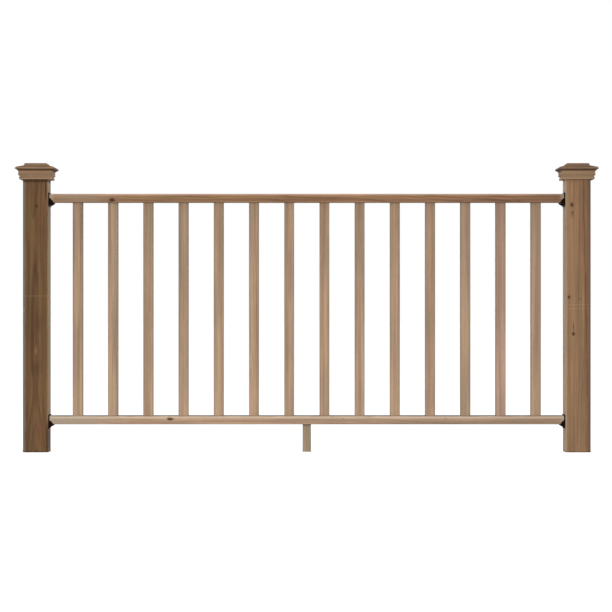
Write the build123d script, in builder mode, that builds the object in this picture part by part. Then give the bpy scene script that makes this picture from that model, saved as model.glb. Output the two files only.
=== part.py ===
"""Cedar deck railing: capped posts, moulded rails on saddle brackets, square balusters and a support block.

Millimetres. X runs along the railing from the left post to the right one, Y is through its thickness
and Z is up. The origin is the centre of the left post's foot.
"""

from build123d import *
import os

# Posts
post_width = 88.9
post_arris = 3.5
post_above_rail = 80.6

# Bay between the posts, and the rails' heights above the ground
clear_span = 1828.8
guard_height = 914.4
ground_gap = 98.0

# Moulded rails
rail_width = 63.5
rail_thickness = 30.2
rail_top_round = 10.0
rail_under_round = 2.5
rail_end_gap = 0.8

# Balusters, housed in square mortises in both rails
baluster_count = 14
baluster_width = 34.9
baluster_arris = 2.0
first_baluster_from_post = 101.9
mortise_depth = 9.5
mortise_clearance = 0.3

# Support block under the middle of the bottom rail
block_width = 30.0
block_arris = 1.5

# Brackets: a plate on the post, a shelf under the rail and a gusset cheek on each side of it
plate_margin = 3.65
plate_thickness = 3.2
plate_above_rail = 4.0
plate_below_rail = 14.5
plate_corner = 4.0
plate_edge_round = 1.0
shelf_thickness = 3.2
shelf_setback = 1.5
cheek_thickness = 2.8
cheek_reach = 17.0
cheek_clearance = 0.3
cheek_height = 14.0
cheek_shoulder = 7.0
cheek_lip = 3.0
cheek_corner = 4.0
cheek_edge_round = 0.6
gusset_foot_reach = 4.0
gusset_foot_height = 4.5
screw_hole_radius = 2.3
countersink_radius = 4.4
post_screw_spacing = 36.0
post_screw_rise = 15.0
post_screw_height = 7.5
rail_screw_spacing = 32.0
rail_screw_from_plate = 7.0

# Cap plate: overhang past the post's face, insets from the cap's edge, and heights above its flat underside
cap_overhang = 25.4
cap_undercut = 8.35
cap_cove_height = 6.0
cap_cove_radius = 12.0
cap_nose_height = 2.6
cap_shoulder_inset = 9.3
cap_shoulder_radius = 10.7
cap_shoulder_height = 14.4
cap_block_inside_post = 2.95
cap_block_foot = 19.6
cap_block_draft = 1.6
cap_block_chamfer = 2.4
cap_height = 27.3
cap_edge_round = 0.7

# Cap skirt: projections from the skirt's inner face, and heights above its lower edge
skirt_clearance = 1.0
skirt_height = 30.3
skirt_foot = 10.4
skirt_bead = 11.3
skirt_bead_height = 7.6
skirt_waist = 9.0
skirt_waist_height = 10.2
skirt_cove_radius = 8.0
skirt_nose = 14.2
skirt_nose_height = 14.2
skirt_nose_land = 1.2
skirt_fascia = 13.4
skirt_edge_round = 0.5

post_height = guard_height + post_above_rail
same_place = 0.01
post_spacing = clear_span + post_width
left_face = post_width / 2
right_face = left_face + clear_span
middle = post_spacing / 2
top_rail_bottom = guard_height - rail_thickness
bottom_rail_top = ground_gap + rail_thickness
rail_length = clear_span - 2 * (plate_thickness + rail_end_gap)
baluster_length = top_rail_bottom - bottom_rail_top + 2 * mortise_depth - mortise_clearance
first_baluster = left_face + first_baluster_from_post
baluster_pitch = (clear_span - 2 * first_baluster_from_post) / (baluster_count - 1)
baluster_places = [(first_baluster + i * baluster_pitch, 0) for i in range(baluster_count)]
cap_half = post_width / 2 + cap_overhang


def save(part, name):
    """Label a finished piece and write it under its name."""
    part.label = name
    export_step(part, f"parts/{name}.step")


def make_square_bar(centre_x, bottom, width, length, arris):
    """A square bar standing on end, with eased long edges: a post, a baluster or the support block."""
    with BuildPart() as bar:
        with BuildSketch(Plane.XY.offset(bottom)):
            with Locations((centre_x, 0)):
                RectangleRounded(width, width, arris)
        extrude(amount=length)
    return bar.part


def make_rail(bottom, mortise_face, mortise_direction):
    """A moulded rail with rounded upper edges, cut to fit between the brackets and mortised on one face."""
    with BuildPart() as rail:
        with BuildSketch(Plane.YZ.offset(left_face + plate_thickness + rail_end_gap)) as section:
            with Locations((0, bottom)):
                Rectangle(rail_width, rail_thickness, align=(Align.CENTER, Align.MIN))
            fillet(section.vertices().group_by(Axis.Y)[-1], radius=rail_top_round)
            fillet(section.vertices().group_by(Axis.Y)[0], radius=rail_under_round)
        extrude(amount=rail_length)
        socket = baluster_width + 2 * mortise_clearance
        with BuildSketch(Plane.XY.offset(mortise_face)):
            with Locations(*baluster_places):
                RectangleRounded(socket, socket, baluster_arris + mortise_clearance)
        extrude(amount=mortise_direction * mortise_depth, mode=Mode.SUBTRACT)
    return rail.part


def make_bracket(face_x, rail_bottom, facing):
    """A saddle bracket on the post face at face_x, holding a rail that runs off in the direction facing."""

    def on_cheek_outside(edge):
        middle_of_edge = seat.to_local_coords(edge.center())
        beyond_plate = middle_of_edge.X > plate_thickness + same_place
        return beyond_plate and abs(abs(middle_of_edge.Y) - outer_half) < same_place

    seat = Plane(origin=(face_x, 0, rail_bottom), x_dir=(facing, 0, 0), z_dir=(0, 0, 1))
    on_post = Plane(origin=seat.origin, x_dir=seat.y_dir, z_dir=seat.x_dir)
    inner_half = rail_width / 2 + cheek_clearance
    outer_half = inner_half + cheek_thickness
    plate_width = 2 * (outer_half + plate_margin)
    plate_height = plate_above_rail + rail_thickness + plate_below_rail
    plate_middle = (rail_thickness + plate_above_rail - plate_below_rail) / 2
    with BuildPart() as bracket:
        with BuildSketch(on_post):
            with Locations((0, plate_middle)):
                RectangleRounded(plate_width, plate_height, plate_corner)
        extrude(amount=plate_thickness)
        plate_front = bracket.faces().sort_by(Axis(seat.origin, seat.x_dir))[-1]
        fillet(plate_front.edges(), radius=plate_edge_round)
        with BuildSketch(seat):
            Rectangle(cheek_reach - shelf_setback, 2 * inner_half, align=(Align.MIN, Align.CENTER))
        extrude(amount=-shelf_thickness)
        for side in (outer_half, -inner_half):
            cheek_plane = Plane(
                origin=seat.from_local_coords((0, side, 0)), x_dir=seat.x_dir, z_dir=-seat.y_dir
            )
            with BuildSketch(cheek_plane) as cheek:
                Polygon(
                    (0, gusset_foot_height - plate_below_rail),
                    (plate_thickness + gusset_foot_reach, gusset_foot_height - plate_below_rail),
                    (cheek_reach, -shelf_thickness),
                    (cheek_reach, cheek_lip),
                    (cheek_shoulder, cheek_height),
                    (0, cheek_height),
                    align=None,
                )
                fillet(cheek.vertices().group_by(Axis.X)[-1], radius=cheek_corner)
            extrude(amount=cheek_thickness)
        fillet(bracket.edges().filter_by(on_cheek_outside), radius=cheek_edge_round)
        with Locations(on_post.offset(plate_thickness)):
            with Locations((0, post_screw_height + post_screw_rise / 2)):
                with GridLocations(post_screw_spacing, post_screw_rise, 2, 2):
                    CounterSinkHole(screw_hole_radius, countersink_radius, depth=plate_thickness)
        with Locations(seat):
            with Locations((plate_thickness + rail_screw_from_plate, 0)):
                with GridLocations(0, rail_screw_spacing, 1, 2):
                    Hole(screw_hole_radius, depth=shelf_thickness)
    return bracket.part


def cap_outline():
    """Half of the cap plate's section, from the middle of its underside round to the middle of its top."""
    nose_top = cap_cove_height + cap_nose_height
    under_half = cap_half - cap_undercut
    shoulder = (cap_half - cap_shoulder_inset, cap_shoulder_height)
    block_half = post_width / 2 - cap_block_inside_post
    block_top_half = block_half - cap_block_draft
    Line((0, 0), (under_half, 0))
    RadiusArc((under_half, 0), (cap_half, cap_cove_height), cap_cove_radius)
    Line((cap_half, cap_cove_height), (cap_half, nose_top))
    RadiusArc((cap_half, nose_top), shoulder, -cap_shoulder_radius)
    Polyline(
        shoulder,
        (block_half, cap_block_foot),
        (block_top_half, cap_height - cap_block_chamfer),
        (block_top_half - cap_block_chamfer, cap_height),
        (0, cap_height),
    )


def make_cap_top(centre_x):
    """The cap's plate: the same moulding on all four sides, mitred at the corners, under a raised square."""
    plans = (
        Plane(origin=(centre_x, 0, post_height), x_dir=(1, 0, 0), z_dir=(0, -1, 0)),
        Plane(origin=(centre_x, 0, post_height), x_dir=(0, 1, 0), z_dir=(1, 0, 0)),
    )
    with BuildPart() as cap:
        for plan, mode in zip(plans, (Mode.ADD, Mode.INTERSECT)):
            with BuildSketch(plan) as section:
                with BuildLine():
                    cap_outline()
                    mirror(about=Plane.YZ)
                make_face()
                moulded = section.vertices().filter_by(lambda v: abs(v.X) > cap_edge_round)
                fillet(moulded, radius=cap_edge_round)
            extrude(amount=cap_half, both=True, mode=mode)
    return cap.part


def make_skirt_strip(centre_x, direction):
    """One mitred strip of the moulding round the post's head. direction points out from the post."""
    inner = post_width / 2 + skirt_clearance
    outward = Vector(*direction)
    along = outward.cross(Vector(0, 0, 1))
    foot = Vector(centre_x, 0, post_height - skirt_height) + outward * inner
    bead_middle = (skirt_bead, skirt_bead_height / 2)
    nose = (skirt_nose, skirt_nose_height)
    under_top = skirt_height - skirt_edge_round
    with BuildPart() as strip:
        with BuildSketch(Plane(origin=foot, x_dir=outward, z_dir=along)) as section:
            with BuildLine():
                Line((0, 0), (skirt_foot, 0))
                ThreePointArc((skirt_foot, 0), bead_middle, (skirt_foot, skirt_bead_height))
                Line((skirt_foot, skirt_bead_height), (skirt_waist, skirt_waist_height))
                RadiusArc((skirt_waist, skirt_waist_height), nose, skirt_cove_radius)
                Polyline(
                    nose,
                    (skirt_nose, skirt_nose_height + skirt_nose_land),
                    (skirt_fascia, skirt_nose_height + 2 * skirt_nose_land),
                    (skirt_fascia, skirt_height),
                    (0, skirt_height),
                    (0, 0),
                )
            make_face()
            moulded = section.vertices().filter_by(lambda v: v.X > skirt_edge_round and v.Y < under_top)
            fillet(moulded, radius=skirt_edge_round)
        extrude(amount=inner + 2 * skirt_nose, both=True)
        for side in (-1, 1):
            corner_cut = Plane(origin=(centre_x, 0, 0), z_dir=outward + side * along)
            split(bisect_by=corner_cut, keep=Keep.TOP)
    return strip.part


os.makedirs("parts", exist_ok=True)

# Posts and their caps
sides = {"front": (0, -1, 0), "back": (0, 1, 0), "left": (-1, 0, 0), "right": (1, 0, 0)}
for place, centre in (("left", 0), ("right", post_spacing)):
    save(make_square_bar(centre, 0, post_width, post_height, post_arris), f"{place}_post")
    save(make_cap_top(centre), f"{place}_cap_top")
    for side_name, direction in sides.items():
        save(make_skirt_strip(centre, direction), f"{place}_cap_skirt_{side_name}")

# Rails: the top one is mortised from below and the bottom one from above
save(make_rail(top_rail_bottom, top_rail_bottom, 1), "top_rail")
save(make_rail(ground_gap, bottom_rail_top, -1), "bottom_rail")

# Balusters stand on the floor of the bottom rail's mortises
for number, (x, _) in enumerate(baluster_places, start=1):
    baluster = make_square_bar(
        x, bottom_rail_top - mortise_depth, baluster_width, baluster_length, baluster_arris
    )
    save(baluster, f"baluster_{number:02d}")

# Brackets
for height_name, rail_bottom in (("top", top_rail_bottom), ("bottom", ground_gap)):
    save(make_bracket(left_face, rail_bottom, 1), f"bracket_{height_name}_left")
    save(make_bracket(right_face, rail_bottom, -1), f"bracket_{height_name}_right")

# Support block
save(make_square_bar(middle, 0, block_width, ground_gap, block_arris), "support_block")
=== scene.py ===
"""Looks of the cedar deck railing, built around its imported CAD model.

Metres, in the CAD model's frame: X along the railing, Y away from the camera, Z up.
"""

import math

import bmesh
import bpy
from mathutils import Matrix, Vector


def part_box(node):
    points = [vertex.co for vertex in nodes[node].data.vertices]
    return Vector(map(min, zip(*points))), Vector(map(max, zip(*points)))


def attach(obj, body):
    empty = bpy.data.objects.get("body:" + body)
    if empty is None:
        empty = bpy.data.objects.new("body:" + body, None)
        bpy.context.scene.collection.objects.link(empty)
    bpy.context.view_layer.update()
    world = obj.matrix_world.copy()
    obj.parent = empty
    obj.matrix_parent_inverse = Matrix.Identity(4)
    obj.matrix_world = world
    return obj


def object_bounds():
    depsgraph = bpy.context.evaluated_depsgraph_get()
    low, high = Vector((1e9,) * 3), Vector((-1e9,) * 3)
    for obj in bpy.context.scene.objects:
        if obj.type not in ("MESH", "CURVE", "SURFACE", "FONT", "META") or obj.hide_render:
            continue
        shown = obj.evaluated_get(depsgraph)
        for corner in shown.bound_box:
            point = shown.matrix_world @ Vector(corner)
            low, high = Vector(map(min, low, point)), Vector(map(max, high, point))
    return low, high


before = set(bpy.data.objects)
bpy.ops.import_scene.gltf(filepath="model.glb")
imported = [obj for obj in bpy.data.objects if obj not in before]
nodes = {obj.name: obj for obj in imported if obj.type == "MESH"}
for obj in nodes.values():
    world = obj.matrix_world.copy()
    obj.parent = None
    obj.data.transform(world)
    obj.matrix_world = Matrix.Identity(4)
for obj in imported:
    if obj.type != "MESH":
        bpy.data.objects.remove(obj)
cad_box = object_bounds()

# Grain directions
ALONG = "X"
ACROSS = "Y"
UPRIGHT = "Z"


def screen(red, green, blue):
    """A linear colour from the 0 to 255 values that a screen shows."""
    channels = []
    for value in (red, green, blue):
        share = value / 255
        channels.append(share / 12.92 if share <= 0.04045 else ((share + 0.055) / 1.055) ** 2.4)
    return (*channels, 1.0)


class Tree:
    """Adds nodes to a node tree. Any input takes a socket, a number or a tuple."""

    def __init__(self, tree):
        self.tree = tree

    def add(self, kind, inputs=None, **settings):
        """A new node with these settings and inputs."""
        node = self.tree.nodes.new(kind)
        for name, value in settings.items():
            setattr(node, name, value)
        for name, value in (inputs or {}).items():
            socket = node.inputs[name]
            if isinstance(value, bpy.types.NodeSocket):
                self.tree.links.new(value, socket)
            else:
                socket.default_value = value
        return node

    def math(self, operation, first, second=0.0, third=0.0):
        return self.add("ShaderNodeMath", {0: first, 1: second, 2: third}, operation=operation).outputs[0]

    def times(self, first, second):
        return self.math("MULTIPLY", first, second)

    def plus(self, first, second):
        return self.math("ADD", first, second)

    def minus(self, first, second):
        return self.math("SUBTRACT", first, second)

    def vector(self, operation, first, second=(0, 0, 0)):
        return self.add("ShaderNodeVectorMath", {0: first, 1: second}, operation=operation).outputs[0]

    def length(self, first):
        return self.add("ShaderNodeVectorMath", {0: first}, operation="LENGTH").outputs["Value"]

    def dot(self, first, second):
        node = self.add("ShaderNodeVectorMath", {0: first, 1: second}, operation="DOT_PRODUCT")
        return node.outputs["Value"]

    def split(self, vector):
        """The x, y and z of a vector."""
        return self.add("ShaderNodeSeparateXYZ", {0: vector}).outputs

    def join(self, x, y, z):
        return self.add("ShaderNodeCombineXYZ", {0: x, 1: y, 2: z}).outputs[0]

    def noise(self, vector, detail=2.0, rough=0.5, output=0):
        inputs = {"Vector": vector, "Scale": 1.0, "Detail": detail, "Roughness": rough}
        return self.add("ShaderNodeTexNoise", inputs).outputs[output]

    def even_noise(self, place, frequency, detail=2.0, rough=0.5):
        """Noise that is equally fine in all directions."""
        return self.noise(self.vector("MULTIPLY", place, (frequency, frequency, frequency)), detail, rough)

    def wobble(self, place, stretch, amount):
        """Noise about zero that spans up to this amount, and is stretched along the axes."""
        noise = self.noise(self.vector("MULTIPLY", place, stretch), 3)
        return self.times(self.minus(noise, 0.5), amount)

    def line_noise(self, value, detail=1.0):
        """Smooth noise along a line."""
        inputs = {"W": value, "Scale": 1.0, "Detail": detail}
        return self.add("ShaderNodeTexNoise", inputs, noise_dimensions="1D").outputs[0]

    def random(self, value):
        """A random number from 0 to 1 for each value."""
        return self.add("ShaderNodeTexWhiteNoise", {"W": value}, noise_dimensions="1D").outputs["Value"]

    def ramp(self, value, low, high, start=0.0, end=1.0):
        """start below low, end above high, and a smooth rise or fall between them."""
        inputs = {"Value": value, "From Min": low, "From Max": high, "To Min": start, "To Max": end}
        return self.add("ShaderNodeMapRange", inputs, interpolation_type="SMOOTHSTEP").outputs[0]

    def mix(self, share, first, second):
        """The first colour where share is 0, and the second where it is 1."""
        return self.add("ShaderNodeMix", {0: share, 6: first, 7: second}, data_type="RGBA").outputs[2]

    def shade(self, colour, factor):
        """A colour made brighter or darker."""
        return self.add("ShaderNodeVectorMath", {0: colour, "Scale": factor}, operation="SCALE").outputs[0]

    def group(self, group, inputs):
        """A node group's outputs for these inputs."""
        return self.add("ShaderNodeGroup", inputs, node_tree=group).outputs

    def surface(self, **inputs):
        """Ends the tree in a surface shader, whose inputs are named as its sockets, with _ for a space."""
        sockets = {name.replace("_", " "): value for name, value in inputs.items()}
        shader = self.add("ShaderNodeBsdfPrincipled", sockets)
        self.add("ShaderNodeOutputMaterial", {"Surface": shader.outputs[0]})

    def bump(self, height):
        """A surface direction from a height in metres."""
        return self.add("ShaderNodeBump", {"Strength": 1.0, "Distance": 1.0, "Height": height}).outputs[0]


def new_group(name, inputs, outputs):
    """A node group with these sockets: (group, its tree, inputs by name, function that fills an output)."""
    kinds = {"value": "NodeSocketFloat", "vector": "NodeSocketVector", "colour": "NodeSocketColor"}
    group = bpy.data.node_groups.new(name, "ShaderNodeTree")
    for kind, sockets in inputs.items():
        for socket in sockets.split():
            group.interface.new_socket(socket, in_out="INPUT", socket_type=kinds[kind])
    for kind, sockets in outputs.items():
        for socket in sockets.split():
            group.interface.new_socket(socket, in_out="OUTPUT", socket_type=kinds[kind])
    tree = Tree(group)
    given = tree.add("NodeGroupInput").outputs
    results = tree.add("NodeGroupOutput").inputs

    def give(socket, value):
        group.links.new(value, results[socket])

    return group, tree, given, give


def new_material(name):
    """An empty material: (material, its tree)."""
    material = bpy.data.materials.new(name)
    material.use_nodes = True
    material.node_tree.nodes.clear()
    return material, Tree(material.node_tree)


def make_cedar_group():
    """Cedar as a solid: growth rings about a pith line, with fibres, flecks, streaks, knots and end grain."""
    group, t, given, give = new_group(
        "cedar",
        {
            "vector": "Place Pith",
            "value": "Spacing Taper Figure_top Wander Seed Contrast Knot Arris End",
            "colour": "Early Late Red Olive Worn",
        },
        {"colour": "Colour", "value": "Figure Roughness Height"},
    )
    late_wood_rise = 0.00007
    fibre_rise = 0.00007
    fleck_sink = 0.00006
    knot_sink = 0.00015
    knot_wood = screen(100, 62, 28)
    knot_line = screen(58, 34, 13)
    bark = screen(36, 19, 6)
    place = given["Place"]
    seed = given["Seed"]
    seeded = t.vector("ADD", place, t.join(seed, t.times(seed, 1.7), seed))

    def stretched(across, along):
        return t.vector("MULTIPLY", seeded, (across, across, along))

    # Growth rings, which widen and wander, and arch where the log tapers
    drift = t.vector("SUBTRACT", t.noise(stretched(5, 1.6), output="Color"), (0.5, 0.5, 0.5))
    drift = t.shade(drift, given["Wander"])
    flat = t.vector("SUBTRACT", t.vector("ADD", place, drift), given["Pith"])
    flat = t.vector("MULTIPLY", flat, (1, 1, 0))
    along = t.math("SMOOTH_MIN", t.split(place)[2], given["Figure_top"], 0.12)
    radius = t.plus(t.length(flat), t.times(along, given["Taper"]))
    ripple = t.times(t.minus(t.noise(stretched(160, 9)), 0.5), 0.0012)
    count = t.math("DIVIDE", t.plus(radius, ripple), given["Spacing"])
    count = t.plus(count, t.times(t.line_noise(t.times(count, 0.31)), 1.3))
    ring = t.math("FLOOR", count)
    part = t.minus(count, ring)
    late = t.times(t.ramp(part, 0.3, 0.92), t.ramp(part, 0.94, 1.0, 1.0, 0.0))
    late = t.times(late, t.ramp(t.random(t.plus(ring, seed)), 0.0, 1.0, 0.3, 1.0))

    # Bands of several rings, streaks along the grain, blotches, fibres and flecks
    band = t.ramp(t.line_noise(t.times(count, 0.16), 2), 0.3, 0.7)
    streak = t.ramp(t.noise(stretched(95, 1.6), 3, 0.6), 0.38, 0.66)
    olive = t.ramp(t.noise(t.vector("ADD", stretched(60, 1.1), (7.3, 1.9, 4.1))), 0.45, 0.7)
    blotch = t.ramp(t.noise(stretched(16, 4.5), 3), 0.3, 0.7, 0.91, 1.09)
    wide = t.ramp(t.noise(t.vector("ADD", stretched(75, 1.3), (5.7, 2.6, 9.4)), 1), 0.3, 0.7, 0.87, 1.1)
    narrow = t.ramp(t.noise(t.vector("ADD", stretched(270, 3.0), (3.1, 8.3, 2.2))), 0.3, 0.7, 0.88, 1.10)
    fibre = t.noise(stretched(1500, 24), 3, 0.6)
    fleck = t.ramp(t.noise(stretched(2600, 130), 1), 0.66, 0.8)

    colour = t.mix(t.times(streak, 0.75), given["Early"], given["Red"])
    colour = t.mix(t.times(olive, 0.55), colour, given["Olive"])
    colour = t.mix(t.times(t.times(band, 0.35), given["Contrast"]), colour, given["Late"])
    colour = t.mix(t.times(late, given["Contrast"]), colour, given["Late"])
    figure = t.minus(1.0, t.times(fleck, 0.3))
    for factor in (blotch, wide, narrow, t.ramp(fibre, 0.25, 0.75, 0.89, 1.11)):
        figure = t.times(figure, factor)
    colour = t.shade(colour, figure)
    give("Figure", t.times(figure, t.minus(1.0, t.times(t.times(late, given["Contrast"]), 0.3))))

    # A knot is a dark disc with rings of its own, a rim of bark and a stained halo
    knot = given["Knot"]
    inside = t.ramp(knot, 0.94, 1.06, 1.0, 0.0)
    knot_rings = t.ramp(t.math("SINE", t.times(knot, 26)), -1, 1, 0.0, 0.75)
    knot_colour = t.mix(knot_rings, knot_wood, knot_line)
    knot_colour = t.mix(t.ramp(knot, 0.72, 0.98, 0.0, 0.8), knot_colour, bark)
    knot_colour = t.mix(t.ramp(knot, 0.05, 0.25, 0.8, 0.0), knot_colour, bark)
    colour = t.mix(t.ramp(knot, 1.0, 2.3, 0.55, 0.0), colour, given["Late"])
    colour = t.mix(inside, colour, knot_colour)

    # End grain drinks more dirt, and arrises take a colour of their own: wear on some pieces, painted light
    # on others
    colour = t.shade(colour, t.minus(1.0, t.times(given["End"], 0.38)))
    worn = t.times(given["Arris"], t.ramp(t.noise(stretched(70, 14), 3), 0.3, 0.7, 0.45, 0.9))
    colour = t.mix(worn, colour, given["Worn"])

    rough = t.plus(0.7, t.times(late, 0.06))
    rough = t.plus(rough, t.times(fibre, 0.14))
    rough = t.plus(rough, t.times(given["End"], 0.1))
    height = t.plus(t.times(late, late_wood_rise), t.times(fibre, fibre_rise))
    height = t.minus(height, t.times(fleck, fleck_sink))
    height = t.minus(height, t.times(inside, knot_sink))
    give("Colour", colour)
    give("Roughness", rough)
    give("Height", height)
    return group


def make_knot_group():
    """One knot: a branch through the piece, from front to back, that the grain flows round."""
    group, t, given, give = new_group(
        "knot",
        {"vector": "Place Middle", "value": "Size Half_depth Hollow"},
        {"value": "Knot Shift"},
    )
    place = given["Place"]
    depth = t.math("DIVIDE", t.split(place)[1], given["Half_depth"])
    size = t.times(given["Size"], t.ramp(depth, -1.0, 1.0, 1.0, 0.5))
    offset = t.vector("SUBTRACT", place, given["Middle"])
    across = t.split(offset)[0]
    uneven = t.wobble(place, (230, 60, 180), 0.5)
    round_distance = t.length(t.vector("MULTIPLY", offset, (1, 0, 0.8)))
    knot = t.plus(t.math("DIVIDE", round_distance, size), uneven)
    open_heart = t.times(t.ramp(knot, 0.5, 0.66, 5.0, 0.0), given["Hollow"])
    give("Knot", t.plus(knot, open_heart))

    # The grain's lines are those of a stream round a pillar, drawn out along the grain
    stream_distance = t.length(t.vector("MULTIPLY", offset, (1, 0, 0.42)))
    pull = t.math("POWER", t.math("DIVIDE", size, stream_distance), 2.0)
    give("Shift", t.times(across, t.times(t.math("MINIMUM", pull, 1.0), -1.0)))
    return group


def make_patch_group():
    """A soft-edged, uneven patch about a place in the wood, drawn out along the grain."""
    group, t, given, give = new_group("patch", {"vector": "Place Middle Reach"}, {"value": "Patch"})
    place = given["Place"]
    offset = t.vector("DIVIDE", t.vector("SUBTRACT", place, given["Middle"]), given["Reach"])
    uneven = t.wobble(place, (240, 240, 22), 0.9)
    give("Patch", t.ramp(t.plus(t.length(offset), uneven), 0.15, 1.15, 1.0, 0.0))
    return group


cedar_nodes = make_cedar_group()
knot_nodes = make_knot_group()
patch_nodes = make_patch_group()

grey_wear = screen(150, 136, 118)
dry_end = screen(184, 168, 150)

# A knot value that is far outside any knot
NO_KNOT = 9.0

# How far dryness reaches in from a piece's ends, and how gradually a tinted face begins
DRY_END_LENGTH = 0.022
TINT_SOFTNESS = 0.3


def cedar(name, node, grain, tones, seed, pith=(0.006, 0.055), spacing=0.0026, taper=0.012, figure_top=5.0,
          wander=0.012, contrast=0.6, knots=(), patches=(), end=1.0, arris=0.88, worn=grey_wear,
          painted_light_arris_side=None, lean=(0, 0, 0), pale_ends=0.0, tints=()):
    """A cedar material for one piece.

    Places in it are (across, depth, along the grain) from the piece's centre.

    tones: early wood, late wood, red streaks and olive streaks.
    pith, spacing, taper: where the log's middle ran, how wide its rings are, how fast it narrowed.
    figure_top: how far along the grain the rings' arches go on.
    wander, contrast: how far the rings stray, how much they show.
    knots: (across, along), radius, hollow.
    patches: (across, along) on the front, reach (across, depth, along), colour, amount.
    end: how dark the end grain is. arris: the share of the half width where the arrises' own colour begins.
    worn, painted_light_arris_side: that colour, and the direction of the only arrises that take
    it. On the rails' upper arrises and the posts' inner ones it is painted light.
    lean: how much brighter the piece gets towards its positive sides. Upwards on the rails and downwards on
    the balusters this is painted light, elsewhere tone.
    pale_ends: how pale the wood is near its ends.
    tints: painted light and shade on faces that face one way, on the bottom rail with some dirt: the
    direction that they face, how nearly they must face it (0 to 1), colour, amount.
    """
    material, t = new_material(name)
    low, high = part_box(node)
    centre = (low + high) / 2
    half = (high - low) / 2
    coordinates = t.add("ShaderNodeTexCoord")
    x, y, z = t.split(t.vector("SUBTRACT", coordinates.outputs["Object"], tuple(centre)))
    place, half, axis = {
        ALONG: (t.join(z, y, x), (half.z, half.y, half.x), (1, 0, 0)),
        ACROSS: (t.join(x, z, y), (half.x, half.z, half.y), (0, 1, 0)),
        UPRIGHT: (t.join(x, y, z), tuple(half), (0, 0, 1)),
    }[grain]
    facing = t.math("ABSOLUTE", t.dot(coordinates.outputs["Normal"], axis))
    share = t.vector("DIVIDE", place, half)
    across, depth, along = (t.math("ABSOLUTE", side) for side in t.split(share))

    shift = 0.0
    knot = NO_KNOT
    for (knot_across, knot_along), radius, hollow in knots:
        one = t.group(knot_nodes, {
            "Place": place, "Middle": (knot_across, 0, knot_along), "Size": radius, "Half_depth": half[1],
            "Hollow": hollow,
        })
        shift = t.plus(shift, one["Shift"])
        knot = t.math("MINIMUM", knot, one["Knot"])
    wear_and_light_arris = t.ramp(t.math("MINIMUM", across, depth), arris, 1.0)
    if painted_light_arris_side:
        wear_and_light_arris = t.times(wear_and_light_arris, t.ramp(t.dot(share, painted_light_arris_side), -0.2, 0.5))
    wood = t.group(cedar_nodes, {
        "Place": t.vector("ADD", place, t.join(shift, 0.0, 0.0)), "Pith": (*pith, 0), "Spacing": spacing,
        "Taper": taper, "Figure_top": figure_top, "Wander": wander, "Seed": seed, "Contrast": contrast,
        "Early": tones[0], "Late": tones[1], "Red": tones[2], "Olive": tones[3], "Worn": worn,
        "Knot": knot, "Arris": wear_and_light_arris, "End": t.times(t.ramp(facing, 0.6, 0.95), end),
    })
    colour = wood["Colour"]
    uneven = t.ramp(t.noise(t.vector("MULTIPLY", place, (60, 60, 14)), 3), 0.3, 0.7, 0.75, 1.0)
    for direction, least, tone, amount in tints:
        turned = t.ramp(t.dot(coordinates.outputs["Normal"], direction), least, least + TINT_SOFTNESS)
        colour = t.mix(t.times(t.times(turned, uneven), amount), colour, t.shade(tone[:3], wood["Figure"]))
    for (patch_across, patch_along), reach, tone, amount in patches:
        patch = t.group(patch_nodes, {
            "Place": place, "Middle": (patch_across, -half[1], patch_along), "Reach": reach,
        })
        colour = t.mix(t.times(patch["Patch"], amount), colour, tone)
    if pale_ends:
        pale = t.times(t.ramp(along, 1.0 - DRY_END_LENGTH / half[2], 1.0, 0.0, pale_ends), uneven)
        colour = t.mix(pale, colour, dry_end)
    colour = t.shade(colour, t.plus(1.0, t.dot(share, lean)))
    t.surface(
        Base_Color=colour, Roughness=wood["Roughness"], Normal=t.bump(wood["Height"]), IOR=1.45,
        Specular_IOR_Level=0.34,
    )
    return material


def dress(node, material):
    """Puts a material on every slot of a CAD node."""
    for slot in nodes[node].material_slots:
        slot.material = material


# Tones: early wood, late wood, red streaks, olive streaks
baluster_tones = (screen(177, 150, 124), screen(135, 105, 79), screen(173, 137, 112), screen(153, 134, 105))
mauve_baluster_tones = (
    screen(180, 150, 130), screen(137, 105, 85), screen(176, 137, 118), screen(155, 134, 111),
)
top_rail_tones = (screen(159, 121, 91), screen(112, 76, 52), screen(156, 108, 80), screen(138, 111, 76))
bottom_rail_tones = (
    screen(176, 149, 124), screen(138, 107, 83), screen(174, 137, 112), screen(156, 136, 110),
)
left_post_tones = (screen(121, 90, 58), screen(72, 47, 24), screen(116, 77, 51), screen(95, 75, 39))
right_post_tones = (screen(151, 118, 86), screen(112, 82, 56), screen(146, 108, 78), screen(138, 112, 80))
cap_tones = (screen(156, 125, 97), screen(112, 82, 58), screen(152, 114, 86), screen(140, 119, 90))
block_tones = (screen(168, 148, 124), screen(132, 108, 84), screen(164, 136, 110), screen(150, 134, 108))
red_brown = screen(112, 72, 50)
dark_brown = screen(66, 40, 20)
mauve_brown = screen(136, 102, 82)
olive_brown = screen(112, 88, 50)
tan_brown = screen(104, 74, 44)
grey_brown = screen(124, 114, 103)
near_black_brown = screen(38, 20, 8)
# Pale marks, and painted sheen on the posts' side faces
pale_mark_and_sheen = screen(190, 164, 134)
# Painted shade, for the caps' upward slopes and their undercuts
painted_shade_brown = screen(54, 34, 16)
# Both side faces of each post made paler: painted sheen
painted_side_sheen = [((1, 0, 0), 0.6, pale_mark_and_sheen, 0.6), ((-1, 0, 0), 0.6, pale_mark_and_sheen, 0.6)]

# Reaches of patches: past a piece's whole length or width, and three depths into the wood
WHOLE_LENGTH = 3.0
WHOLE_WIDTH = 0.4
DEEP = 0.03
SHALLOW = 0.012
SKIN_DEEP = 0.01

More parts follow.
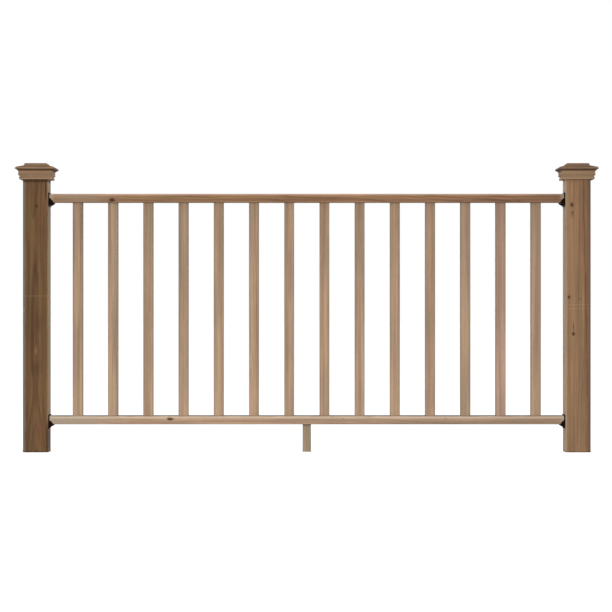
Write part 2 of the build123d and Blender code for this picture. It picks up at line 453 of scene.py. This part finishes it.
# A leaning dark streak down the right post, as a chain of patches: the first one's place and the step to
# the next, both (across, along), and how many there are
STREAK_START = (0.0195, 0.38)
STREAK_STEP = (0.0031, -0.15)
STREAK_PATCHES = 5
dark_streak = [
    (
        (STREAK_START[0] + STREAK_STEP[0] * i, STREAK_START[1] + STREAK_STEP[1] * i), (0.0032, DEEP, 0.11),
        dark_brown, 0.42,
    )
    for i in range(STREAK_PATCHES)
]

# Posts
dress("left_post", cedar(
    "left_post_wood", "left_post", UPRIGHT, left_post_tones, 3.1, pith=(0.0, 0.036), spacing=0.0032,
    # The paler inner arris and side faces are painted light
    taper=0.034, figure_top=-0.30, wander=0.014, contrast=0.7, arris=0.93, worn=screen(164, 140, 112),
    painted_light_arris_side=(1, 0, 0), lean=(0.04, 0, 0.02), tints=painted_side_sheen,
    knots=[((0.004, 0.372), 0.0032, 0.0), ((-0.001, -0.129), 0.0020, 0.0)],
    patches=[
        # Grey left edge, painted shadow under the cap, and a dark band at the foot
        ((-0.0430, 0.0), (0.0100, SHALLOW, WHOLE_LENGTH), grey_brown, 0.95),
        ((0.0, 0.4615), (WHOLE_WIDTH, WHOLE_WIDTH, 0.0070), screen(66, 42, 20), 0.85),
        ((0.0, -0.4980), (WHOLE_WIDTH, WHOLE_WIDTH, 0.0060), near_black_brown, 0.8),
        # Thin pale mark across the post, a rub on its left edge, and the upper knot's dark heart
        ((0.0, 0.0550), (0.080, DEEP, 0.0014), pale_mark_and_sheen, 0.3),
        ((-0.041, 0.0080), (0.004, DEEP, 0.0100), pale_mark_and_sheen, 0.4),
        ((0.004, 0.372), (0.0036, DEEP, 0.0050), near_black_brown, 0.6),
        # Painted shadow of the cap down the upper right edge, then dark, red and olive stains along the grain
        ((0.036, 0.430), (0.0040, DEEP, 0.045), dark_brown, 0.95),
        ((0.029, 0.310), (0.0045, DEEP, 0.110), dark_brown, 0.45),
        ((0.015, 0.320), (0.0080, DEEP, 0.020), red_brown, 0.8),
        ((0.022, -0.420), (0.0200, DEEP, 0.065), red_brown, 0.75),
        ((-0.020, 0.330), (0.0200, DEEP, 0.110), olive_brown, 0.6),
        ((0.010, 0.230), (0.0160, DEEP, 0.070), olive_brown, 0.45),
        ((0.020, 0.060), (0.0200, DEEP, 0.070), olive_brown, 0.4),
        ((0.006, -0.200), (0.0240, DEEP, 0.040), dark_brown, 0.35),
        ((0.012, -0.040), (0.0200, DEEP, 0.050), dark_brown, 0.3),
        # Paler wood round the lower knot, and painted shade on the lower right corner
        ((0.001, -0.136), (0.0070, DEEP, 0.020), screen(150, 116, 84), 0.45),
        ((0.0450, -0.455), (0.0130, 0.120, 0.100), dark_brown, 0.85),
        # Two long dark streaks
        ((-0.010, -0.080), (0.0070, DEEP, 0.190), dark_brown, 0.4),
        ((0.000, 0.170), (0.0080, DEEP, 0.090), dark_brown, 0.35),
    ],
))
dress("right_post", cedar(
    "right_post_wood", "right_post", UPRIGHT, right_post_tones, 8.4, pith=(0.03, 0.04), spacing=0.003,
    # The paler inner arris and side faces are painted light
    taper=0.008, wander=0.012, contrast=0.34, arris=0.9, worn=screen(156, 138, 114), painted_light_arris_side=(-1, 0, 0),
    lean=(-0.06, 0, -0.025), tints=painted_side_sheen,
    knots=[
        ((-0.022, 0.377), 0.0050, 0.0), ((-0.0205, 0.350), 0.0026, 0.3), ((-0.0325, 0.051), 0.0034, 0.0),
        ((-0.0166, -0.079), 0.0042, 0.0),
    ],
    patches=[
        # Painted light on the left edge, and dark edge and mauve band at the right
        ((-0.0440, 0.0), (0.0072, SHALLOW, WHOLE_LENGTH), screen(168, 152, 132), 0.35),
        ((0.0395, 0.0), (0.0070, SHALLOW, WHOLE_LENGTH), screen(92, 68, 54), 0.6),
        ((0.0345, 0.0), (0.0170, DEEP, WHOLE_LENGTH), screen(112, 78, 56), 0.42),
        ((0.0375, 0.100), (0.0080, DEEP, 0.600), mauve_brown, 0.5),
        # Dark heart of the knot near the left edge, and a red streak
        ((-0.0325, 0.051), (0.0030, DEEP, 0.005), near_black_brown, 0.6),
        ((0.0240, 0.000), (0.0070, DEEP, 0.600), red_brown, 0.25),
        # Stain round the upper knots, the lower knot's dark tail, and a fleck
        ((-0.0210, 0.344), (0.0090, DEEP, 0.016), tan_brown, 0.4),
        ((-0.0166, -0.055), (0.0028, DEEP, 0.024), dark_brown, 0.7),
        ((0.0065, 0.045), (0.0040, DEEP, 0.007), dark_brown, 0.35),
        # Two thin pale marks across the post, and a dark band at the foot
        ((-0.004, 0.0237), (0.060, DEEP, 0.0014), pale_mark_and_sheen, 0.35),
        ((-0.004, 0.0105), (0.060, DEEP, 0.0014), pale_mark_and_sheen, 0.3),
        ((0.0, -0.4980), (WHOLE_WIDTH, WHOLE_WIDTH, 0.0050), near_black_brown, 0.8),
        # The leaning streak, a wider stain round the upper knots, and a red streak
        *dark_streak,
        ((-0.020, 0.375), (0.0080, DEEP, 0.050), tan_brown, 0.3),
        ((0.004, 0.300), (0.0050, DEEP, 0.160), red_brown, 0.25),
    ],
))

# Caps
for place, seed in (("left", 11.0), ("right", 17.0)):
    # The caps' upward faces are darkened, and their undersides more: painted shade
    dress(f"{place}_cap_top", cedar(
        f"{place}_cap_wood", f"{place}_cap_top", ALONG, cap_tones, seed, pith=(-0.05, 0.01), contrast=0.5,
        end=0.4, arris=0.97, tints=[((0, 0, 1), 0.35, painted_shade_brown, 0.42), ((0, 0, -1), 0.05, painted_shade_brown, 0.75)],
    ))
    for side, grain in (("front", ALONG), ("back", ALONG), ("left", ACROSS), ("right", ACROSS)):
        seed += 1.3
        dress(f"{place}_cap_skirt_{side}", cedar(
            f"{place}_{side}_skirt_wood", f"{place}_cap_skirt_{side}", grain, cap_tones, seed,
            pith=(0.03, 0.02), contrast=0.4, end=0.0, arris=0.98,
            # Paler undersides: painted light in the shade under the moulding's nose
            tints=[((0, 0, -1), 0.1, screen(206, 176, 146), 0.55)],
        ))

# Rails
dress("top_rail", cedar(
    "top_rail_wood", "top_rail", ALONG, top_rail_tones, 23.7, pith=(-0.02, 0.05), contrast=0.55,
    # The paler upper arrises and upward faces are a painted highlight; the paler underside and brighter upper
    # half are painted light
    knots=[((-0.0075, -0.690), 0.0062, 0.0)], arris=0.4, worn=screen(196, 160, 134), painted_light_arris_side=(1, 0, 0),
    lean=(0.08, 0, -0.08), pale_ends=0.7,
    tints=[((0, 0, 1), 0.35, screen(214, 188, 166), 0.32), ((0, 0, -1), 0.5, screen(222, 202, 180), 0.75)],
    patches=[
        # Painted shade in a line along the lower part, and the greyer left end
        ((-0.0075, 0.0), (0.0040, SKIN_DEEP, WHOLE_LENGTH), screen(104, 74, 50), 0.4),
        ((0.0, -0.80), (0.060, DEEP, 0.130), screen(160, 142, 120), 0.45),
        # Stain round the knot, and an olive and a red mark
        ((-0.0070, -0.689), (0.0072, DEEP, 0.0125), screen(72, 34, 14), 0.9),
        ((0.001, 0.739), (0.0050, DEEP, 0.016), screen(134, 104, 72), 0.5),
        ((-0.009, 0.750), (0.0030, DEEP, 0.012), screen(106, 54, 34), 0.5),
    ],
))
dress("bottom_rail", cedar(
    "bottom_rail_wood", "bottom_rail", ALONG, bottom_rail_tones, 31.9, pith=(-0.03, 0.06), contrast=0.45,
    knots=[((0.0048, -0.4832), 0.0052, 0.0), ((0.006, 0.128), 0.0016, 0.0)], arris=0.5,
    # The bright upper arrises are a painted highlight and the brighter upper half painted light; the dark top
    # face is painted shade with some dirt
    worn=screen(246, 226, 202), painted_light_arris_side=(1, 0, 0), lean=(0.08, 0, -0.05), pale_ends=0.8,
    tints=[((0, 0, 1), 0.65, screen(66, 50, 38), 0.85)],
    patches=[
        # Greyer left end, and a painted highlight along the upper part
        ((0.0, -0.84), (0.060, DEEP, 0.180), screen(166, 151, 132), 0.7),
        ((0.0085, 0.0), (0.0045, SKIN_DEEP, WHOLE_LENGTH), screen(226, 202, 178), 0.38),
        # Stain on both sides of the knot, and a faint mark
        ((0.0046, -0.4880), (0.0072, DEEP, 0.0110), screen(66, 42, 18), 0.85),
        ((0.0050, -0.4760), (0.0050, DEEP, 0.0080), screen(66, 42, 18), 0.8),
        ((0.0055, 0.4917), (0.0050, DEEP, 0.0100), screen(138, 110, 80), 0.5),
    ],
))

# Balusters, one of them a little mauve, each cut from another side of its log
MAUVE_BALUSTER = "baluster_13"
PITH_DISTANCE = 0.05
PITH_TURN = 2.4
balusters = sorted(name for name in nodes if name.startswith("baluster_"))
for number, name in enumerate(balusters, start=1):
    turn = number * PITH_TURN
    tones = mauve_baluster_tones if name == MAUVE_BALUSTER else baluster_tones
    dress(name, cedar(
        f"{name}_wood", name, UPRIGHT, tones, 61 + number * 2.9,
        pith=(PITH_DISTANCE * math.cos(turn), PITH_DISTANCE * math.sin(turn)), spacing=0.0024, contrast=0.45,
        # Brighter towards the foot: painted light
        taper=0.006, arris=0.74, worn=screen(138, 121, 99), lean=(0, 0, -0.105),
    ))

# Support block
dress("support_block", cedar(
    "support_block_wood", "support_block", UPRIGHT, block_tones, 97.3, pith=(0.03, 0.04), contrast=0.4,
    arris=0.7,
))


def make_black_nylon():
    """Black moulded nylon, with a fine moulded grain, scuffed spots and a little dust on what faces up."""
    material, t = new_material("black_nylon")
    coordinates = t.add("ShaderNodeTexCoord")
    place = coordinates.outputs["Object"]
    grain_rise = 0.00006
    grain = t.even_noise(place, 1900)
    scuff = t.ramp(t.even_noise(place, 240, 4, 0.7), 0.58, 0.72)
    facing_up = t.ramp(t.split(coordinates.outputs["Normal"])[2], 0.3, 1.0)
    patchy = t.ramp(t.even_noise(place, 90, 3), 0.3, 0.7, 0.05, 0.2)
    dust = t.times(facing_up, patchy)
    colour = t.mix(t.times(scuff, 0.2), screen(26, 10, 2), screen(54, 34, 20))
    colour = t.mix(dust, colour, screen(120, 98, 76))
    rough = t.plus(t.plus(0.62, t.times(grain, 0.12)), t.times(dust, 0.3))
    bump = t.bump(t.times(grain, grain_rise))
    t.surface(Base_Color=colour, Roughness=rough, Normal=bump, Specular_IOR_Level=0.06)
    return material


def make_coated_steel():
    """Black coating on the screws, rubbed through to the steel in spots."""
    material, t = new_material("coated_steel")
    place = t.add("ShaderNodeTexCoord").outputs["Object"]
    rubbed = t.ramp(t.even_noise(place, 900, 4, 0.7), 0.6, 0.75)
    colour = t.mix(t.times(rubbed, 0.6), screen(40, 38, 36), screen(126, 122, 116))
    rough = t.minus(0.5, t.times(rubbed, 0.15))
    t.surface(Base_Color=colour, Roughness=rough, Metallic=t.times(rubbed, 0.9), Specular_IOR_Level=0.4)
    return material


def make_filler():
    """Wood filler over the cap's brads: a little darker than the wood, dry and grainy."""
    material, t = new_material("wood_filler")
    place = t.add("ShaderNodeTexCoord").outputs["Object"]
    grain_rise = 0.00004
    grain = t.even_noise(place, 2500, 3)
    colour = t.mix(t.ramp(grain, 0.3, 0.7), screen(118, 86, 60), screen(142, 112, 84))
    bump = t.bump(t.times(grain, grain_rise))
    t.surface(Base_Color=colour, Roughness=0.85, Normal=bump, Specular_IOR_Level=0.15)
    return material


black_nylon = make_black_nylon()
for name in nodes:
    if name.startswith("bracket_"):
        dress(name, black_nylon)


def add_rings(bm, rings, segments, to_place):
    """Circles of (radius, height) joined by a skin, and closed where a radius is 0. Returns the last one."""
    previous = None
    for radius, height in rings:
        if radius == 0:
            current = [bm.verts.new(to_place @ Vector((0, 0, height)))]
        else:
            turns = (math.tau * i / segments for i in range(segments))
            points = (Vector((radius * math.cos(a), radius * math.sin(a), height)) for a in turns)
            current = [bm.verts.new(to_place @ point) for point in points]
        if previous:
            for i in range(segments):
                a = previous[i % len(previous)]
                b = previous[(i + 1) % len(previous)]
                c = current[(i + 1) % len(current)]
                d = current[i % len(current)]
                bm.faces.new(dict.fromkeys((a, b, c, d)))
        previous = current
    return previous


def add_screw(bm, profile, crown, to_place):
    """A screw along +Z, its head's crown at the given height, with a cross-shaped driving recess."""
    recess_depth = 0.0014
    slot_half_width = 0.0005
    slot_reach = 0.0021
    floor_share = 0.55
    segments = 32
    rim = add_rings(bm, profile, segments, to_place)
    arm = [(slot_half_width, slot_half_width), (slot_half_width, slot_reach), (-slot_half_width, slot_reach)]
    corners = []
    for quarter in range(4):
        turn = Matrix.Rotation(math.tau * quarter / 4, 3, "Z")
        corners += [turn @ Vector((x, y, 0)) for x, y in arm]
    recess_top = Vector((0, 0, crown))
    recess_floor = Vector((0, 0, crown - recess_depth))
    upper = [bm.verts.new(to_place @ (corner + recess_top)) for corner in corners]
    lower = [bm.verts.new(to_place @ (corner * floor_share + recess_floor)) for corner in corners]
    count = len(corners)
    for i in range(count):
        bm.faces.new((upper[i], upper[(i + 1) % count], lower[(i + 1) % count], lower[i]))
    bm.faces.new(lower)
    rim_edges = [bm.edges.get((rim[i], rim[(i + 1) % len(rim)])) for i in range(len(rim))]
    slot_edges = [bm.edges.get((upper[i], upper[(i + 1) % count])) for i in range(count)]
    bmesh.ops.triangle_fill(bm, use_beauty=True, edges=rim_edges + slot_edges)


def finish_piece(name, bm, material):
    """A mesh object from bm that rides on the railing, smooth except at its sharp edges."""
    sharp_angle = math.radians(35)
    bmesh.ops.recalc_face_normals(bm, faces=bm.faces)
    mesh = bpy.data.meshes.new(name)
    bm.to_mesh(mesh)
    bm.free()
    mesh.polygons.foreach_set("use_smooth", [True] * len(mesh.polygons))
    mesh.set_sharp_from_angle(angle=sharp_angle)
    mesh.materials.append(material)
    piece = bpy.data.objects.new(name, mesh)
    bpy.context.scene.collection.objects.link(piece)
    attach(piece, "root")


def pointing(place, direction):
    """A matrix that puts +Z along a direction at a place."""
    return Matrix.Translation(place) @ Vector(direction).to_track_quat("Z", "Y").to_matrix().to_4x4()


# Screws of the brackets: pan heads under the shelf, and countersunk heads in the plate behind the rail's end
PLATE = 0.0032
SHELF = 0.0032
RAIL_SCREW_FROM_PLATE = 0.007
RAIL_SCREW_HALF_SPACING = 0.016
POST_SCREW_HALF_SPACING = 0.018
POST_SCREW_HEIGHTS = (0.0075, 0.0225)
FLAT_HEAD_SINK = 0.0002
SHANK = 0.0019
pan_head = [
    (0, -0.024), (SHANK, -0.019), (SHANK, 0), (0.0042, 0), (0.0043, 0.0008), (0.0041, 0.0015),
    (0.0036, 0.0021), (0.0027, 0.0024),
]
flat_head = [(0, -0.032), (SHANK, -0.026), (SHANK, -0.0024), (0.0041, -0.0003), (0.0041, 0), (0.0027, 0)]
steel = make_coated_steel()
for height in ("top", "bottom"):
    rail_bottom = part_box(f"{height}_rail")[0].z
    for side, facing in (("left", 1), ("right", -1)):
        low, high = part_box(f"bracket_{height}_{side}")
        face = low.x if facing == 1 else high.x
        shelf_x = face + facing * (PLATE + RAIL_SCREW_FROM_PLATE)
        bm = bmesh.new()
        for y in (-RAIL_SCREW_HALF_SPACING, RAIL_SCREW_HALF_SPACING):
            add_screw(bm, pan_head, pan_head[-1][1], pointing((shelf_x, y, rail_bottom - SHELF), (0, 0, -1)))
        for y in (-POST_SCREW_HALF_SPACING, POST_SCREW_HALF_SPACING):
            for rise in POST_SCREW_HEIGHTS:
                head_x = face + facing * (PLATE - FLAT_HEAD_SINK)
                add_screw(bm, flat_head, 0, pointing((head_x, y, rail_bottom + rise), (facing, 0, 0)))
        finish_piece(f"screws_{height}_{side}", bm, steel)

# Filled brad holes in the caps' mouldings, two on each strip's flat upper band
BRAD_SETBACK = 0.0008
BRAD_BELOW_TOP = 0.0071
BRAD_HALF_SPACING = 0.034
BRAD_SEGMENTS = 16
filled_brad = [(0, -0.001), (0.0009, -0.001), (0.0009, 0.00005), (0.0006, 0.00015), (0, 0.0002)]
filler = make_filler()
directions = {"front": (0, -1, 0), "back": (0, 1, 0), "left": (-1, 0, 0), "right": (1, 0, 0)}
for place in ("left", "right"):
    bm = bmesh.new()
    post_low, post_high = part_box(f"{place}_post")
    post_middle = (post_low + post_high) / 2
    for side, direction in directions.items():
        low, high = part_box(f"{place}_cap_skirt_{side}")
        outward = Vector(direction)
        reach = max(abs(outward.dot(low - post_middle)), abs(outward.dot(high - post_middle))) - BRAD_SETBACK
        along = outward.cross(Vector((0, 0, 1)))
        for step in (-BRAD_HALF_SPACING, BRAD_HALF_SPACING):
            spot = post_middle + outward * reach + along * step
            spot.z = high.z - BRAD_BELOW_TOP
            add_rings(bm, filled_brad, BRAD_SEGMENTS, pointing(spot, direction))
    finish_piece(f"{place}_cap_fillings", bm, filler)


# Studio: a pale floor, a white surround and soft lights
def make_floor():
    """A wide pale floor that looks white to its far edge and throws no light back up."""
    half = 60.0
    corners = [(-half, -half, 0), (half, -half, 0), (half, half, 0), (-half, half, 0)]
    mesh = bpy.data.meshes.new("floor")
    mesh.from_pydata(corners, [], [(0, 1, 2, 3)])
    material, t = new_material("floor_white")
    t.surface(
        Base_Color=(0.9, 0.9, 0.9, 1.0), Roughness=0.9, Specular_IOR_Level=0.0,
        Emission_Color=(1.0, 1.0, 1.0, 1.0), Emission_Strength=0.5,
    )
    mesh.materials.append(material)
    floor = bpy.data.objects.new("floor", mesh)
    floor.visible_diffuse = False
    floor.visible_glossy = False
    bpy.context.scene.collection.objects.link(floor)


def make_surround():
    """White to the camera. As a light it is dim below, and brightest on the backdrop and to the sides."""
    from_below = 0.22
    from_level = 0.36
    more_above = 0.1
    more_beside = 0.5
    more_behind = 1.3
    world = bpy.data.worlds.new("surround")
    bpy.context.scene.world = world
    world.use_nodes = True
    world.node_tree.nodes.clear()
    w = Tree(world.node_tree)
    sideways, away, height = w.split(w.add("ShaderNodeTexCoord").outputs["Generated"])
    light = w.ramp(height, -0.35, 0.05, from_below, from_level)
    light = w.plus(light, w.ramp(height, 0.05, 0.9, 0.0, more_above))
    beside = w.ramp(w.math("ABSOLUTE", sideways), 0.45, 0.95, 0.0, more_beside)
    light = w.plus(light, w.times(beside, w.ramp(height, -0.25, 0.1)))
    backdrop = w.times(w.ramp(away, 0.1, 0.8, 0.0, more_behind), w.ramp(height, -0.3, 0.0))
    light = w.plus(light, w.times(backdrop, w.ramp(height, 0.25, 0.55, 1.0, 0.0)))
    seen = w.add("ShaderNodeLightPath").outputs["Is Camera Ray"]
    strength = w.plus(seen, w.times(w.minus(1.0, seen), light))
    background = w.add("ShaderNodeBackground", {"Color": (1.0, 1.0, 1.0, 1.0), "Strength": strength})
    w.add("ShaderNodeOutputWorld", {"Surface": background.outputs[0]})


def soft_light(name, place, aim, width, height, power):
    """A rectangular light, in metres and watts, that the camera doesn't see."""
    light = bpy.data.lights.new(name, "AREA")
    light.shape = "RECTANGLE"
    light.size = width
    light.size_y = height
    light.energy = power
    lamp = bpy.data.objects.new(name, light)
    lamp.location = place
    lamp.rotation_euler = (Vector(aim) - Vector(place)).to_track_quat("-Z", "Y").to_euler()
    lamp.visible_camera = False
    bpy.context.scene.collection.objects.link(lamp)


def make_lights():
    """A low broad key from the front, a weak one from above, and a strip that lifts the feet."""
    middle = (cad_box[0][0] + cad_box[1][0]) / 2
    aim = (middle, 0.0, 0.55)
    low_aim = (middle, 0.0, 0.15)
    soft_light("key", (middle - 0.4, -5.2, 2.1), aim, width=4.2, height=1.6, power=135)
    soft_light("top", (middle, 0.3, 4.4), aim, width=3.4, height=2.2, power=18)
    soft_light("low_strip", (middle, -1.6, 0.12), low_aim, width=3.0, height=0.2, power=10)


def make_camera():
    """A level camera, far off and straight in front, as in the photograph."""
    place = (0.956, -8.0445, 0.517)
    data = bpy.data.cameras.new("camera")
    data.sensor_width = 36.0
    data.lens = 133.2
    camera = bpy.data.objects.new("camera", data)
    camera.location = place
    camera.rotation_euler = (math.pi / 2, 0, 0)
    bpy.context.scene.collection.objects.link(camera)
    bpy.context.scene.camera = camera


make_floor()
make_surround()
make_lights()
make_camera()

bpy.context.scene.view_settings.view_transform = "Standard"
bpy.context.scene.view_settings.look = "None"

bpy.context.view_layer.update()
